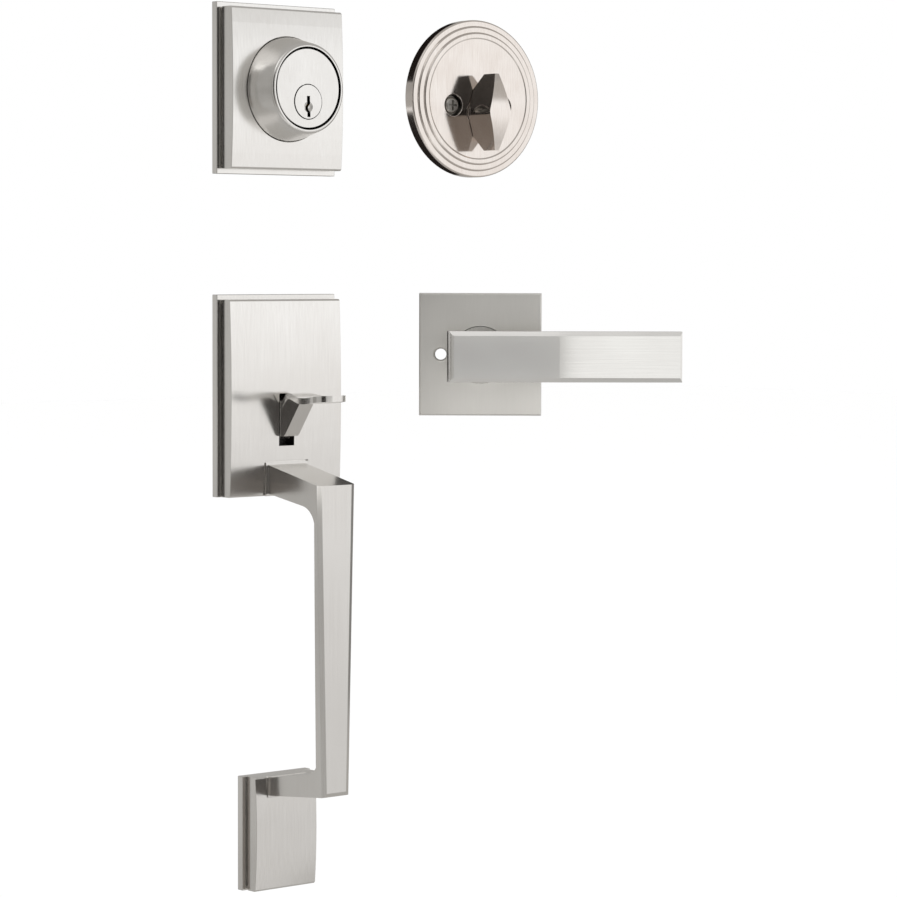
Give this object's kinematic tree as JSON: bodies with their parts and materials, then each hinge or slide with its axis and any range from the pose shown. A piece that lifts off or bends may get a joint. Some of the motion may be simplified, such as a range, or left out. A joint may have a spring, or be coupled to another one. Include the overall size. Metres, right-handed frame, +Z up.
{
  "type": "front door handle set",
  "caption": "Front entry door handle set in satin nickel: keyed deadbolt, grip handle with thumb latch, inside thumbturn and inside lever.",
  "frame": {"origin": "on the door face, at the centre of the handle's upper back plate", "axes": "+Z up the door, -Y out of the door towards the user of the grip, +X to the right as seen from in front"},
  "size_m": [0.231, 0.1489, 0.4458],
  "materials": {
    "nickel_plate": "satin nickel, vertical brushing",
    "nickel_grip": "satin nickel, vertical brushing",
    "nickel_lever": "satin nickel, horizontal brushing",
    "nickel_bright": "fine satin nickel with a bright sheen",
    "nickel_cylinder": "fine satin nickel",
    "pin_brass": "plain turned brass",
    "zinc_steel": "zinc plated steel",
    "spring_steel": "spring steel wire"
  },
  "bodies": {
    "root": {"deadbolt_back_plate": "nickel_plate", "deadbolt_face_plate": "nickel_plate", "cylinder_housing": "nickel_cylinder", "driver_pins": "pin_brass", "pin_springs": "spring_steel", "turn_rose": "nickel_bright", "turn_mount_plate": "zinc_steel", "turn_washer": "spring_steel", "turn_screws": "zinc_steel", "handle_back_plate": "nickel_plate", "handle_face_plate": "nickel_plate", "thumb_pivot_pin": "zinc_steel", "thumb_spring": "spring_steel", "handle_posts": "zinc_steel", "grip": "nickel_grip", "grip_screws": "zinc_steel", "lower_back_plate": "nickel_plate", "lower_face_plate": "nickel_plate", "lower_post": "zinc_steel", "lever_rose": "nickel_lever", "lever_mount_plate": "zinc_steel", "lever_spring": "spring_steel"},
    "collar": {"guard_collar": "nickel_plate"},
    "plug": {"cylinder_plug": "nickel_cylinder", "key_pins": "pin_brass", "plug_retainer": "zinc_steel", "tailpiece": "zinc_steel"},
    "turn": {"thumb_turn": "nickel_bright", "turn_clip": "spring_steel"},
    "thumb": {"thumb_piece": "nickel_grip"},
    "cam": {"lift_cam": "zinc_steel", "cam_retainer": "spring_steel"},
    "lever": {"lever_handle": "nickel_lever", "lever_spindle": "zinc_steel", "lever_clip": "spring_steel", "lever_set_screw": "spring_steel"}
  },
  "joints": [
    {"name": "collar_spin", "type": "hinge", "parent": "root", "child": "collar", "pos_m": [0, 0, 0.153], "axis": [0, 1, 0], "continuous": true},
    {"name": "plug_turn", "type": "hinge", "parent": "root", "child": "plug", "pos_m": [0, 0, 0.1463], "axis": [0, 1, 0], "range_deg": [-90, 90]},
    {"name": "turn_rotate", "type": "hinge", "parent": "root", "child": "turn", "pos_m": [0.132, 0, 0.1455], "axis": [0.0872, 0.9962, 0], "range_deg": [-90, 90]},
    {"name": "thumb_press", "type": "hinge", "parent": "root", "child": "thumb", "pos_m": [0, -0.0062, -0.003], "axis": [1, 0, 0], "range_deg": [0, 14], "stiffness_Nm_per_rad": 0.3, "springref_deg": -17.19, "deforming": ["thumb_spring"]},
    {"name": "cam_turn", "type": "hinge", "parent": "root", "child": "cam", "pos_m": [0, 0, 0.018], "axis": [0, 1, 0], "range_deg": [0, 30]},
    {"name": "lever_turn", "type": "hinge", "parent": "root", "child": "lever", "pos_m": [0.1405, 0, 0.018], "axis": [0.6613, 0.7501, 0], "range_deg": [-45, 45], "stiffness_Nm_per_rad": 4, "deforming": ["lever_spring"]}
  ],
  "couplings": [
    {"joint": "cam_turn", "follows": "thumb_press", "ratio": 2.14}
  ]
}
